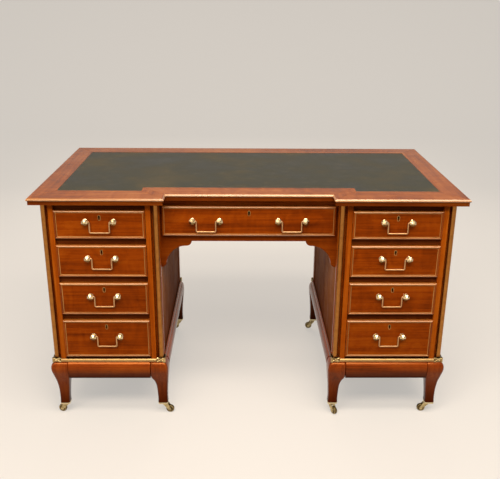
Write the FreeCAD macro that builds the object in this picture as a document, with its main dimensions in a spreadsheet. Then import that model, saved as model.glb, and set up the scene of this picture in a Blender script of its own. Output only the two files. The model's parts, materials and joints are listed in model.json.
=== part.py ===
import FreeCAD, Part
import Sketcher
import math
import os
import re

# Kneehole desk: X runs along the front, Y from front to back, Z up from the floor.
# The driving dimensions, in millimetres and degrees.
sizes = {
    # heights, from the floor up
    "castor_height": 43.0,
    "leg_height": 167.0,
    "floor_thickness": 20.5,
    "drawer_opening_low": 135.0,
    "drawer_opening_third": 112.0,
    "drawer_opening_second": 108.0,
    "drawer_opening_top": 94.0,
    "drawer_rail": 21.5,
    "top_rail": 22.0,
    "top_thickness": 22.0,
    # plan of the pedestals and the kneehole
    "kneehole_width": 570.0,
    "pedestal_width": 367.0,
    "pedestal_depth": 688.0,
    "post_width": 40.5,
    "corner_notch": 24.0,
    "column_radius": 8.0,
    "column_inset": 0.5,
    "panel_recess": 3.0,
    "side_panel": 16.0,
    "back_panel": 12.0,
    "rail_recess": 10.0,
    "rail_depth": 60.0,
    "runner_width": 40.0,
    "runner_height": 12.0,
    # plan of the top
    "side_overhang": 33.0,
    "front_overhang": 26.0,
    "breakfront_half": 263.0,
    "breakfront_depth": 52.0,
    "nosing_width": 4.0,
    "nosing_height": 9.0,
    "nosing_round": 3.6,
    "side_border": 73.0,
    "front_border": 96.0,
    "centre_border": 84.0,
    "step_border": 80.0,
    "back_border": 84.0,
    "leather_thickness": 1.5,
    "leather_sink": 0.5,
    # the long drawer's frame over the kneehole
    "centre_setback": 50.0,
    "centre_opening": 101.0,
    "centre_stile": 8.0,
    "back_rail": 18.0,
    "bracket_reach": 102.0,
    "bracket_drop": 92.0,
    "bracket_thickness": 20.0,
    "bracket_setback": 12.0,
    "bracket_lobe": 17.0,
    "bracket_foot": 18.0,
    "bracket_hollow": 66.0,
    # drawers
    "front_clearance": 0.75,
    "runner_clearance": 0.3,
    "front_thickness": 20.0,
    "front_stand": 2.0,
    "cockbead_width": 8.0,
    "cockbead_round": 5.5,
    "cockbead_fillet": 1.2,
    "cockbead_stand": 3.2,
    "drawer_side": 10.0,
    "drawer_back": 10.0,
    "drawer_bottom": 6.0,
    "bottom_rise": 6.0,
    "side_drop": 8.0,
    "pedestal_drawer_room": 65.0,
    "centre_drawer_room": 21.5,
    # handles, keyholes and locks
    "boss_spacing": 88.0,
    "boss_rose_radius": 9.0,
    "boss_rose": 2.5,
    "boss_neck_radius": 5.5,
    "boss_neck": 8.0,
    "boss_head_radius": 10.7,
    "boss_head_back": 4.0,
    "boss_head_front": 5.5,
    "boss_tip_radius": 3.2,
    "bail_radius": 2.5,
    "bail_bend": 4.0,
    "bail_drop": 36.0,
    "bail_gap": 0.5,
    "pivot_clearance": 0.05,
    "handle_rise": 11.0,
    "centre_handle_rise": 2.0,
    "centre_handle_half": 138.0,
    "keyhole_drop": 24.0,
    "keyhole_radius": 2.4,
    "keyhole_length": 14.0,
    "escutcheon_rim": 1.2,
    "escutcheon_thickness": 0.6,
    "lock_width": 46.0,
    "lock_height": 34.0,
    "lock_depth": 11.0,
    # stands
    "stand_rail_height": 60.0,
    "stand_rail_thickness": 26.0,
    "stand_rail_stand": 5.0,
    "stand_rail_bulge": 7.0,
    "bead_height": 13.0,
    "bead_bulge": 6.0,
    "block_height": 17.0,
    "block_stand": 6.0,
    "block_bevel": 3.0,
    "leg_width": 46.0,
    "rail_joint": 0.6,
    "leg_edge": 7.0,
    "calf_share": 0.23,
    "shin_share": 0.46,
    "hock_share": 0.635,
    "knee_share": 0.8,
    "brow_share": 0.9,
    "crown_swell": 5.5,
    "brow_swell": 9.5,
    "knee_swell": 10.5,
    "hock_swell": 3.0,
    "shin_inset": 5.0,
    "shin_reach": 42.0,
    "calf_inset": 9.0,
    "calf_reach": 40.5,
    "ankle_inset": 9.5,
    "ankle_reach": 39.5,
    "inner_knee_swell": 14.0,
    "inner_hock_swell": 12.0,
    "inner_hock_reach": 36.0,
    "inner_shin_swell": 11.0,
    "inner_shin_reach": 25.0,
    "inner_calf_swell": 9.5,
    "inner_calf_reach": 21.5,
    "inner_ankle_swell": 10.0,
    "inner_ankle_reach": 20.0,
    # castors
    "plate_width": 25.0,
    "plate_thickness": 2.5,
    "bush_radius": 5.5,
    "bush_length": 20.0,
    "swivel_radius": 3.5,
    "swivel_clearance": 0.05,
    "collar_radius": 10.0,
    "collar_thickness": 3.0,
    "collar_gap": 0.3,
    "fork_bridge": 5.0,
    "fork_cheek": 2.5,
    "fork_toe": 6.0,
    "castor_trail": 19.0,
    "wheel_radius": 14.0,
    "wheel_width": 10.0,
    "wheel_crown": 2.5,
    "wheel_gap": 0.6,
    "axle_radius": 2.0,
    "axle_clearance": 0.05,
    "first_heading": 170.0,
    "second_heading": -8.0,
    "third_heading": -58.0,
    "fourth_heading": 172.0,
    "rear_heading": 182.0,
}

doc = FreeCAD.newDocument("kneehole_desk")
sheet = doc.addObject("Spreadsheet::Sheet", "Sizes")
for row, (alias, number) in enumerate(sizes.items(), 1):
    sheet.set(f"A{row}", alias)
    sheet.set(f"B{row}", str(number))
    sheet.setAlias(f"B{row}", alias)
doc.recompute()

Vector = FreeCAD.Vector
tolerance = 0.001
nodes = []


def tie(text):
    # The expression with every size name pointed at the sheet.
    return re.sub(r"[a-z]\w*", lambda word: "Sizes." + word[0] if word[0] in sizes else word[0], str(text))


def number_of(text):
    # The expression's value now, for laying out a sketch before its constraints hold it.
    return float(sheet.evalExpression(tie(text).replace("Sizes.", "")))


def bind(item, prop, text):
    item.setExpression(prop, tie(text))


def board(name, x, y, z):
    # A plain board between two faces on each axis.
    item = doc.addObject("Part::Box", name)
    for prop, axis, (low, high) in zip(("Length", "Width", "Height"), "xyz", (x, y, z)):
        bind(item, prop, f"({high}) - ({low})")
        bind(item, "Placement.Base." + axis, low)
    return item


def arc_between(start, end, radius, turn):
    # The short arc from start to end: turn 1 goes counter-clockwise and -1 clockwise.
    chord = end - start
    height = math.sqrt(max(radius ** 2 - (chord.Length / 2) ** 2, 0.0))
    normal = Vector(-chord.y, chord.x, 0).normalize()
    centre = start + chord * 0.5 + normal * (height * turn)
    first, last = (start, end) if turn > 0 else (end, start)
    angles = [math.atan2(point.y - centre.y, point.x - centre.x) for point in (first, last)]
    return Part.ArcOfCircle(Part.Circle(centre, Vector(0, 0, 1), radius), *angles)


def draw(sketch, corners, closed=True):
    # Corners are pairs of expressions. A corner with a radius and a turn is reached by an arc.
    first = sketch.GeometryCount
    points = [Vector(number_of(corner[0]), number_of(corner[1]), 0) for corner in corners]
    count = len(corners) if closed else len(corners) - 1
    ends = []
    for index in range(count):
        target = (index + 1) % len(corners)
        if len(corners[target]) == 4:
            radius, turn = corners[target][2:]
            arc = arc_between(points[index], points[target], number_of(radius), turn)
            edge = sketch.addGeometry(arc)
            ends.append((1, 2) if turn > 0 else (2, 1))
            held = sketch.addConstraint(Sketcher.Constraint("Radius", edge, number_of(radius)))
            bind(sketch, f"Constraints[{held}]", radius)
        else:
            edge = sketch.addGeometry(Part.LineSegment(points[index], points[target]))
            ends.append((1, 2))
    for index in range(count if closed else count - 1):
        after = (index + 1) % count
        sketch.addConstraint(
            Sketcher.Constraint("Coincident", first + index, ends[index][1], first + after, ends[after][0]))
    for index, (point, corner) in enumerate(zip(points, corners)):
        edge, end = (index, 0) if index < count else (count - 1, 1)
        for kind, place, text in (("DistanceX", point.x, corner[0]), ("DistanceY", point.y, corner[1])):
            held = sketch.addConstraint(
                Sketcher.Constraint(kind, -1, 1, first + edge, ends[edge][end], place))
            bind(sketch, f"Constraints[{held}]", text)


def draw_circle(sketch, x, y, radius):
    circle = Part.Circle(Vector(number_of(x), number_of(y), 0), Vector(0, 0, 1), number_of(radius))
    edge = sketch.addGeometry(circle)
    for kind, place, text in (("DistanceX", circle.Center.x, x), ("DistanceY", circle.Center.y, y)):
        held = sketch.addConstraint(Sketcher.Constraint(kind, -1, 1, edge, 3, place))
        bind(sketch, f"Constraints[{held}]", text)
    held = sketch.addConstraint(Sketcher.Constraint("Radius", edge, circle.Radius))
    bind(sketch, f"Constraints[{held}]", radius)


def new_sketch(body, plane, offset="0"):
    # A sketch on one of the body's own origin planes, moved along the plane's normal.
    sketch = body.newObject("Sketcher::SketchObject", body.Name + "Sketch")
    support = [item for item in body.Origin.OriginFeatures if item.Role == plane + "_Plane"]
    sketch.AttachmentSupport = [(support[0], "")]
    sketch.MapMode = "FlatFace"
    bind(sketch, "AttachmentOffset.Base.z", offset)
    return sketch


def new_body(name):
    return doc.addObject("PartDesign::Body", name)


def feature(body, kind, sketch, **props):
    # Adds a PartDesign feature on a sketch. Text values are expressions, others are set as they are.
    item = body.newObject("PartDesign::" + kind, body.Name + kind)
    item.Profile = sketch
    for prop, setting in props.items():
        if isinstance(setting, str):
            bind(item, prop, setting)
        else:
            setattr(item, prop, setting)
    return item


def prism(name, plane, start, length, *outlines):
    # An outline, with any holes in it, padded along the normal of its plane.
    body = new_body(name)
    sketch = new_sketch(body, plane, start)
    for outline in outlines:
        draw(sketch, outline)
    feature(body, "Pad", sketch, Length=length)
    return body


def turn_on(body, plane, corners):
    # A closed outline turned about the sketch's vertical axis.
    sketch = new_sketch(body, plane)
    draw(sketch, corners)
    feature(body, "Revolution", sketch, ReferenceAxis=(sketch, ["V_Axis"]), Angle=360.0)


def loft_on(body, plane, sections, ruled):
    # A loft through outlines, each with its height along the plane's normal.
    sketches = []
    for height, outline in sections:
        sketch = new_sketch(body, plane, height)
        draw(sketch, outline)
        sketches.append(sketch)
    feature(body, "AdditiveLoft", sketches[0], Sections=sketches[1:], Ruled=ruled)


def placed(source, x="0", y="0", z="0", heading="0", axis=(0, 0, 1)):
    # One more of a piece, turned about an axis and moved to its place.
    link = doc.addObject("App::Link", source.Name + "Copy")
    link.LinkedObject = source
    link.Placement = FreeCAD.Placement(Vector(), FreeCAD.Rotation(Vector(*axis), 1))
    for letter, text in zip("xyz", (x, y, z)):
        bind(link, "Placement.Base." + letter, text)
    bind(link, "Placement.Rotation.Angle", heading)
    return link


def node(label, pieces):
    # A named sub-part: one solid, or a group of separate ones.
    group = doc.addObject("Part::Compound", label)
    group.Label = label
    group.Links = pieces
    nodes.append(group)


def rectangle(x, y):
    return [(x[0], y[0]), (x[1], y[0]), (x[1], y[1]), (x[0], y[1])]


def rounded_rectangle(x, y, radius):
    # A rectangle between two values on each axis, its corners rounded.
    across = (f"({x[0]}) + ({radius})", f"({x[1]}) - ({radius})")
    along = (f"({y[0]}) + ({radius})", f"({y[1]}) - ({radius})")
    return [
        (across[1], y[0]), (x[1], along[0], radius, 1), (x[1], along[1]), (across[1], y[1], radius, 1),
        (across[0], y[1]), (x[0], along[1], radius, 1), (x[0], along[0]), (across[0], y[0], radius, 1),
    ]


# Levels that several pieces share.
stand_top = "(castor_height + leg_height)"
floor_top = f"({stand_top} + floor_thickness)"
opening_names = ("drawer_opening_low", "drawer_opening_third", "drawer_opening_second", "drawer_opening_top")
openings = []
level = floor_top
for opening_name in opening_names:
    openings.append((level, f"({level} + {opening_name})"))
    level = f"({openings[-1][1]} + drawer_rail)"
opening_top = openings[-1][1]
under_top = f"({opening_top} + top_rail)"
desk_top = f"({under_top} + top_thickness)"

# Planes that several pieces share.
front = "(pedestal_depth / 2)"
pedestal_centre = "((kneehole_width + pedestal_width) / 2)"
pedestal_inner = "(kneehole_width / 2)"
pedestal_outer = "(kneehole_width / 2 + pedestal_width)"
kneehole_face = "(kneehole_width / 2 + panel_recess)"
half_width = f"({pedestal_outer} + side_overhang)"
half_depth = f"({front} + front_overhang)"
back_inside = f"({front} - panel_recess - back_panel)"
sides = {"left": "-1", "right": "1"}

# The four corners of each pedestal, seen from above: place, heading and the leg's axis there.
# The legs beside the kneehole stand straighter than the outer ones, so their axis is nearer the corner.
corners = []
ankle_centre = "((ankle_reach + ankle_inset) / 2)"
inner_ankle_centre = "((inner_ankle_reach - inner_ankle_swell) / 2)"
for sign in sides.values():
    for along, across, heading in (("-1", "-1", 0), ("1", "-1", 90), ("1", "1", 180), ("-1", "1", 270)):
        x = f"{sign} * {pedestal_centre} + {along} * pedestal_width / 2"
        y = f"{across} * {front}"
        sideways = ankle_centre if along == sign else inner_ankle_centre
        axis = (f"{x} - {along} * {sideways}", f"{y} - {across} * {ankle_centre}")
        corners.append((x, y, heading, axis))


# Top: mitred boards round an inset panel, with leather let in and a rounded nosing on the upper edge.
def top_outline(inset):
    side = f"({half_width} - {inset})"
    notch = f"(breakfront_half + {inset})"
    edge = f"-({half_depth} - {inset})"
    recess = f"-({half_depth} - breakfront_depth - {inset})"
    back = f"({half_depth} - {inset})"
    return [
        (f"-{side}", edge), (f"-{notch}", edge), (f"-{notch}", recess), (notch, recess),
        (notch, edge), (side, edge), (side, back), (f"-{side}", back),
    ]


def leather_outline():
    side = f"({half_width} - side_border)"
    step = "(breakfront_half + step_border)"
    edge = f"-({half_depth} - front_border)"
    recess = f"-({half_depth} - breakfront_depth - centre_border)"
    back = f"({half_depth} - back_border)"
    return [
        (f"-{side}", edge), (f"-{step}", edge), (f"-{step}", recess), (step, recess),
        (step, edge), (side, edge), (side, back), (f"-{side}", back),
    ]


def mitred_ring(name, plane, outer, inner, start, height):
    # One board for each side of the outline, cut on the lines between matching corners.
    pieces = []
    for index in range(len(outer)):
        after = (index + 1) % len(outer)
        outline = [outer[index], outer[after], inner[after], inner[index]]
        pieces.append(prism(name, plane, start, height, outline))
    return pieces


def round_over(strip, first, last, radius):
    # Rounds the two long edges of a strip's outer face, which runs from the first corner to the last.
    pad = strip.Tip
    across, along = [(number_of(low) + number_of(high)) / 2 for low, high in zip(first, last)]
    edges = []
    for number, edge in enumerate(pad.Shape.Edges, 1):
        middle = edge.CenterOfMass
        if middle.isEqual(Vector(across, along, middle.z), tolerance):
            edges.append(f"Edge{number}")
    fillet = strip.newObject("PartDesign::Fillet", strip.Name + "Fillet")
    fillet.Base = (pad, edges)
    bind(fillet, "Radius", radius)


wood_edge = top_outline("nosing_width")
node("top_frame", mitred_ring("TopBoard", "XY", wood_edge, leather_outline(), under_top, "top_thickness"))
nosing_foot = f"{desk_top} - nosing_height"
top_edge = top_outline("0")
nosing = mitred_ring("Nosing", "XY", top_edge, wood_edge, nosing_foot, "nosing_height")
doc.recompute()
for strip, first, last in zip(nosing, top_edge, top_edge[1:] + top_edge[:1]):
    round_over(strip, first, last, "nosing_round")
node("top_edge_moulding", nosing)

leather_foot = f"({desk_top} - leather_sink - leather_thickness)"
node("leather_writing_surface",
     [prism("Leather", "XY", leather_foot, "leather_thickness", leather_outline())])

leather = leather_outline()
panel_height = (under_top, leather_foot)
wide = (leather[0][1], leather[7][1])
narrow = (leather[2][1], leather[7][1])
node("top_panel", [
    board("PanelLeft", (leather[0][0], leather[1][0]), wide, panel_height),
    board("PanelCentre", (leather[2][0], leather[3][0]), narrow, panel_height),
    board("PanelRight", (leather[4][0], leather[5][0]), wide, panel_height),
])

# Pedestals: notched corner posts, plain panels, and rails and runners for the drawers.
post_height = f"{under_top} - {stand_top}"
post = prism("Post", "XY", stand_top, post_height, [
    ("corner_notch", "0"), ("post_width", "0"), ("post_width", "post_width"),
    ("0", "post_width"), ("0", "corner_notch"), ("corner_notch", "corner_notch"),
])
node("corner_posts", [placed(post, x, y, heading=heading) for x, y, heading, axis in corners])

block_top = f"({stand_top} + block_height)"
column = new_body("Column")
column_sketch = new_sketch(column, "XY", block_top)
column_axis = "column_radius + column_inset"
draw_circle(column_sketch, column_axis, column_axis, "column_radius")
feature(column, "Pad", column_sketch, Length=f"{under_top} - {block_top}")
node("brass_columns", [placed(column, x, y, heading=heading) for x, y, heading, axis in corners])

side_panels = []
back_panels = []
dividers = []
panel_run = (f"-({front} - post_width)", f"{front} - post_width")
panel_rise = (stand_top, under_top)
rail_front = f"-({front} - rail_recess)"
rail_back = f"-({front} - rail_recess - rail_depth)"
for side, sign in sides.items():
    def across(low, high):
        # Two places measured out from the middle of the desk, in rising order on this side.
        return (low, high) if sign == "1" else (f"-({high})", f"-({low})")

    outer_face = f"{pedestal_outer} - panel_recess"
    side_panels += [
        board("InnerPanel", across(kneehole_face, f"{kneehole_face} + side_panel"), panel_run, panel_rise),
        board("OuterPanel", across(f"{outer_face} - side_panel", outer_face), panel_run, panel_rise),
    ]
    bay = (f"{pedestal_inner} + post_width", f"{pedestal_outer} - post_width")
    back_faces = (back_inside, f"{back_inside} + back_panel")
    back_panels.append(board("BackPanel", across(*bay), back_faces, panel_rise))
    dividers.append(board("Floor", across(*bay), (rail_front, back_inside), (stand_top, floor_top)))
    dividers.append(board("TopRail", across(*bay), (rail_front, rail_back), (opening_top, under_top)))
    inner_runner = (f"{kneehole_face} + side_panel", f"{kneehole_face} + side_panel + runner_width")
    outer_runner = (f"{outer_face} - side_panel - runner_width", f"{outer_face} - side_panel")
    for low, high in openings[1:]:
        dividers.append(board("Rail", across(*bay), (rail_front, rail_back), (f"{low} - drawer_rail", low)))
        for runner in (inner_runner, outer_runner):
            run = (rail_back, f"{front} - post_width")
            dividers.append(board("Runner", across(*runner), run, (f"{low} - runner_height", low)))
node("pedestal_sides", side_panels)
node("pedestal_backs", back_panels)
node("drawer_dividers", dividers)

# Kneehole: the long drawer's frame between the pedestals, and a shaped bracket at each end.
centre_front = f"({front} - centre_setback)"
centre_low = f"({opening_top} - centre_opening)"
centre_under = f"({centre_low} - drawer_rail)"
span = (f"-{kneehole_face}", kneehole_face)
centre_rail_run = (f"-({centre_front} - rail_recess)", f"-({centre_front} - rail_recess - rail_depth)")
back_rail_run = (f"{front} - post_width - back_rail", f"{front} - post_width")
kneehole = [
    board("CentreRail", span, centre_rail_run, (centre_under, centre_low)),
    board("CentreTopRail", span, centre_rail_run, (opening_top, under_top)),
    board("KneeholeBackRail", span, back_rail_run, (centre_under, under_top)),
]
stile_edge = f"({kneehole_face} - centre_stile)"
runner_edge = f"({kneehole_face} - runner_width)"
runner_run = (centre_rail_run[1], back_rail_run[0])
runner_rise = (f"{centre_low} - runner_height", centre_low)
for low, high in ((stile_edge, kneehole_face), (f"-{kneehole_face}", f"-{stile_edge}")):
    kneehole.append(board("CentreStile", (low, high), centre_rail_run, (centre_low, opening_top)))
for low, high in ((runner_edge, kneehole_face), (f"-{kneehole_face}", f"-{runner_edge}")):
    kneehole.append(board("CentreRunner", (low, high), runner_run, runner_rise))
node("kneehole_frame", kneehole)

# The bracket's curve, from its tip: a small lobe, a long hollow and a lobe at the foot.
lobe = (f"{kneehole_face} - bracket_reach + bracket_lobe", f"{centre_under} - bracket_lobe")
foot = (f"{kneehole_face} - bracket_foot", f"{centre_under} - bracket_drop + bracket_foot")
bracket_back = f"{centre_front} - bracket_setback - bracket_thickness"
bracket = prism("Bracket", "XZ", bracket_back, "bracket_thickness", [
    (kneehole_face, centre_under),
    (f"{kneehole_face} - bracket_reach", centre_under),
    (*lobe, "bracket_lobe", 1),
    (*foot, "bracket_hollow", -1),
    (kneehole_face, f"{centre_under} - bracket_drop", "bracket_foot", 1),
])
mirror = doc.addObject("Part::Mirroring", "BracketMirror")
mirror.Source = bracket
mirror.Normal = Vector(1, 0, 0)
node("kneehole_brackets", [bracket, mirror])


# Handles: a boss is a rose, a bored neck and an eight-sided head. A bail turns on spigots in two bosses.
def octagon(radius):
    turns = [math.radians(22.5 + 45 * step) for step in range(8)]
    return [(f"{math.cos(turn):.6f} * ({radius})", f"{math.sin(turn):.6f} * ({radius})") for turn in turns]


neck_end = "(boss_rose + boss_neck)"
pivot_depth = "(boss_rose + boss_neck / 2)"
boss = new_body("Boss")
turn_on(boss, "XY", [
    ("0", f"-{neck_end}"), ("boss_neck_radius", f"-{neck_end}"), ("boss_neck_radius", "-boss_rose"),
    ("boss_rose_radius", "-boss_rose"), ("boss_rose_radius", "0"), ("0", "0"),
])
loft_on(boss, "XZ", [
    (neck_end, octagon("boss_neck_radius + 1")),
    (f"{neck_end} + boss_head_back", octagon("boss_head_radius")),
    (f"{neck_end} + boss_head_back + boss_head_front", octagon("boss_tip_radius")),
], True)
bore_sketch = new_sketch(boss, "YZ")
draw_circle(bore_sketch, f"-{pivot_depth}", "0", "bail_radius + pivot_clearance")
doc.recompute()
feature(boss, "Pocket", bore_sketch, Length="boss_head_radius")

# The bail: a round rod from spigot to spigot, square-cornered below.
boss_flat = f"boss_head_radius * {math.cos(math.pi / 8):.6f}"
bail_half = f"(boss_spacing / 2 - {boss_flat} - bail_gap - bail_radius)"
spigot_end = "(boss_spacing / 2 - bail_gap)"
bail = new_body("Bail")
bail_path = new_sketch(bail, "XZ")
draw(bail_path, [
    (f"-{spigot_end}", "0"),
    (f"-({bail_half} + bail_bend)", "0"),
    (f"-{bail_half}", "-bail_bend", "bail_bend", -1),
    (f"-{bail_half}", "-(bail_drop - bail_bend)"),
    (f"-({bail_half} - bail_bend)", "-bail_drop", "bail_bend", 1),
    (f"{bail_half} - bail_bend", "-bail_drop"),
    (bail_half, "-(bail_drop - bail_bend)", "bail_bend", 1),
    (bail_half, "-bail_bend"),
    (f"{bail_half} + bail_bend", "0", "bail_bend", -1),
    (spigot_end, "0"),
], closed=False)
bail_section = new_sketch(bail, "YZ", f"-{spigot_end}")
draw_circle(bail_section, "0", "0", "bail_radius")
feature(bail, "AdditivePipe", bail_section, Spine=bail_path)


# Drawers: a box of plain boards behind a solid front, with a cockbead, bosses, a keyhole and a lock.
def slot(x, low, high, radius):
    # An upright slot with round ends.
    right, left = f"({x}) + ({radius})", f"({x}) - ({radius})"
    return [
        (right, low, radius, 1), (right, high), (x, f"({high}) + ({radius})", radius, 1),
        (left, high, radius, 1), (left, low), (x, f"({low}) - ({radius})", radius, 1),
    ]


def inset(span, amount):
    return (f"{span[0]} + {amount}", f"{span[1]} - {amount}")


def cockbead(face, width, height):
    # The moulding glued round a drawer front: a flat fillet inside, and a bead outside that stands higher.
    outer = rectangle(width, height)
    inner = rectangle(inset(width, "cockbead_width"), inset(height, "cockbead_width"))
    ridge = rectangle(inset(width, "cockbead_round"), inset(height, "cockbead_round"))
    back = f"{face} - front_thickness"
    strips = mitred_ring("Cockbead", "XZ", outer, inner, back, "front_thickness + cockbead_fillet")
    for index, strip in enumerate(strips):
        after = (index + 1) % len(outer)
        sketch = new_sketch(strip, "XZ", f"{face} + cockbead_fillet")
        draw(sketch, [outer[index], outer[after], ridge[after], ridge[index]])
        feature(strip, "Pad", sketch, Length="cockbead_stand - cockbead_fillet")
    return strips


def drawer(name, x, z, face, end, handles, rise):
    centre = f"(({x[0]}) + ({x[1]})) / 2"
    width = (f"{x[0]} + front_clearance", f"{x[1]} - front_clearance")
    height = (f"{z[0]} + front_clearance", f"{z[1]} - front_clearance")
    inner_width = inset(width, "cockbead_width")
    inner_height = inset(height, "cockbead_width")
    front_back = f"-({face} - front_thickness)"

    keyhole_top = f"{z[1]} - keyhole_drop + keyhole_length / 2 - keyhole_radius"
    keyhole_foot = f"{z[1]} - keyhole_drop - keyhole_length / 2 + keyhole_radius"
    keyhole = slot(centre, keyhole_foot, keyhole_top, "keyhole_radius")
    rim = slot(centre, keyhole_foot, keyhole_top, "keyhole_radius + escutcheon_rim")
    front_board = doc.addObject("Part::Cut", "DrawerFront")
    front_board.Base = board("FrontBlank", inner_width, (f"-{face}", front_back), inner_height)
    front_board.Tool = prism("Keyhole", "XZ", f"{face} - front_thickness", "front_thickness", keyhole)

    between = (f"{width[0]} + drawer_side", f"{width[1]} - drawer_side")
    side_height = (f"{z[0]} + runner_clearance", f"{z[1]} - side_drop")
    bottom_low = f"({z[0]} + runner_clearance + bottom_rise)"
    bottom_high = f"({bottom_low} + drawer_bottom)"
    node(name + "_box", cockbead(face, width, height) + [
        front_board,
        board("DrawerLeft", (width[0], between[0]), (front_back, end), side_height),
        board("DrawerRight", (between[1], width[1]), (front_back, end), side_height),
        board("DrawerBack", between, (f"{end} - drawer_back", end), (bottom_high, side_height[1])),
        board("DrawerBottom", between, (front_back, end), (bottom_low, bottom_high)),
    ])

    lock_span = (f"{centre} - lock_width / 2", f"{centre} + lock_width / 2")
    lock_rise = (f"{inner_height[1]} - lock_height", inner_height[1])
    fittings = [
        prism("Escutcheon", "XZ", face, "escutcheon_thickness", rim, keyhole),
        board("Lock", lock_span, (front_back, f"{front_back} + lock_depth"), lock_rise),
    ]
    pivot_height = f"(({z[0]}) + ({z[1]})) / 2 + {rise}"
    for handle_name, shift in handles:
        middle = f"{centre} + {shift}"
        fittings.append(placed(boss, f"{middle} + boss_spacing / 2", f"-{face}", pivot_height))
        left_boss = placed(boss, f"{middle} - boss_spacing / 2", f"-{face}", pivot_height, "180", (0, 1, 0))
        fittings.append(left_boss)
        pivot_place = f"-({face} + {pivot_depth})"
        node(handle_name, [placed(bail, middle, pivot_place, pivot_height)])
    node(name + "_brass", fittings)


pedestal_end = f"({back_inside} - pedestal_drawer_room)"
pedestal_face = f"({front} + front_stand)"
centre_face = f"({centre_front} + front_stand)"
for side, sign in sides.items():
    bay_centre = f"{sign} * {pedestal_centre}"
    half_bay = "(pedestal_width / 2 - post_width)"
    opening_x = (f"{bay_centre} - {half_bay}", f"{bay_centre} + {half_bay}")
    for number, opening in enumerate(reversed(openings), 1):
        name = f"{side}_drawer_{number}"
        handles = [(name + "_bail", "0")]
        drawer(name, opening_x, opening, pedestal_face, pedestal_end, handles, "handle_rise")
centre_end = f"({back_rail_run[0]} - centre_drawer_room)"
centre_handles = []
for side, sign in sides.items():
    centre_handles.append((f"centre_drawer_{side}_bail", f"{sign} * centre_handle_half"))
drawer("centre_drawer", (f"-{stile_edge}", stile_edge), (centre_low, opening_top), centre_face,
       centre_end, centre_handles, "centre_handle_rise")


# Stands: cushion-moulded rails, a brass bead above them and cabriole legs at the corners.
def bulged(low, high, face, bulge):
    # The outer edge of a strip's section, from its head to its foot, swelling out from a flat face.
    radius = f"((({high} - {low}) / 2)^2 + {bulge}^2) / (2 * {bulge})"
    return [(face, low, radius, 1), (face, high)]


def edge_pieces(name, outline, trim):
    # The same section along the four faces of both pedestals, held back from each corner.
    pieces = []
    for extent in ("pedestal_width", "pedestal_depth"):
        length = f"({extent} - 2 * {trim})"
        piece = prism(name, "YZ", f"-{length} / 2", length, outline)
        for sign in sides.values():
            middle = f"{sign} * {pedestal_centre}"
            if extent == "pedestal_width":
                pieces.append(placed(piece, middle, f"-{front}"))
                pieces.append(placed(piece, middle, front, heading="180"))
            else:
                pieces.append(placed(piece, f"{middle} + pedestal_width / 2", heading="90"))
                pieces.append(placed(piece, f"{middle} - pedestal_width / 2", heading="-90"))
    return pieces


rail_foot = f"({stand_top} - stand_rail_height)"
rail_edge = bulged(rail_foot, stand_top, "-stand_rail_stand", "stand_rail_bulge")
rail_back = [("stand_rail_thickness", rail_foot), ("stand_rail_thickness", stand_top)]
rail_outline = rail_edge[:1] + rail_back + rail_edge[1:]
node("stand_rails", edge_pieces("StandRail", rail_outline, "(leg_width + rail_joint)"))

bead_edge = bulged(stand_top, f"({stand_top} + bead_height)", "0", "bead_bulge")
node("brass_base_beads", edge_pieces("BaseBead", bead_edge, "corner_notch"))

block_edge = "-(block_stand - block_bevel)"
block = prism("CornerBlock", "XY", stand_top, "block_height", [
    (block_edge, "-block_stand"), ("corner_notch", "-block_stand"), ("corner_notch", "corner_notch"),
    ("-block_stand", "corner_notch"), ("-block_stand", block_edge),
])
node("brass_corner_blocks", [placed(block, x, y, heading=heading) for x, y, heading, axis in corners])


# A leg's curve on one side, from the foot up: the share of its height, how far it swells past the pedestal's
# face there, and how far it reaches in. Beside the kneehole the outer side is straighter.
shares = ("0", "calf_share", "shin_share", "hock_share", "knee_share", "brow_share", "1")
head_swells = ("knee_swell", "brow_swell", "crown_swell")
swells = ("-ankle_inset", "-calf_inset", "-shin_inset", "hock_swell") + head_swells
reaches = ("ankle_reach", "calf_reach", "shin_reach") + ("leg_width",) * 4
inner_swells = ("inner_ankle_swell", "inner_calf_swell", "inner_shin_swell", "inner_hock_swell")
inner_swells += ("inner_knee_swell",) + head_swells[1:]
inner_reaches = ("inner_ankle_reach", "inner_calf_reach", "inner_shin_reach", "inner_hock_reach")
inner_reaches += ("leg_width",) * 3
curve = [(f"-({swell})", reach) for swell, reach in zip(swells, reaches)]
inner_curve = [(f"-({swell})", reach) for swell, reach in zip(inner_swells, inner_reaches)]


def cabriole(name, x_curve, y_curve, x, y):
    # A leg with a curve for each of its two sides, bored for the castor's bush at a place in its foot.
    body = new_body(name)
    loft_on(body, "XY", [
        (f"castor_height + leg_height * {share}", rounded_rectangle(across, along, "leg_edge"))
        for share, across, along in zip(shares, x_curve, y_curve)
    ], False)
    sketch = new_sketch(body, "XY", "castor_height")
    draw_circle(sketch, x, y, "bush_radius + swivel_clearance")
    doc.recompute()
    feature(body, "Pocket", sketch, Length="bush_length", Reversed=True)
    return body


outer_leg = cabriole("OuterLeg", curve, curve, ankle_centre, ankle_centre)
leading_leg = cabriole("LeadingLeg", inner_curve, curve, inner_ankle_centre, ankle_centre)
trailing_leg = cabriole("TrailingLeg", curve, inner_curve, ankle_centre, inner_ankle_centre)
left_legs = (outer_leg, trailing_leg, leading_leg, outer_leg)
right_legs = (leading_leg, outer_leg, outer_leg, trailing_leg)
legs = []
for leg, (x, y, heading, axis) in zip(left_legs + right_legs, corners):
    legs.append(placed(leg, x, y, heading=heading))
node("cabriole_legs", legs)

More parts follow.
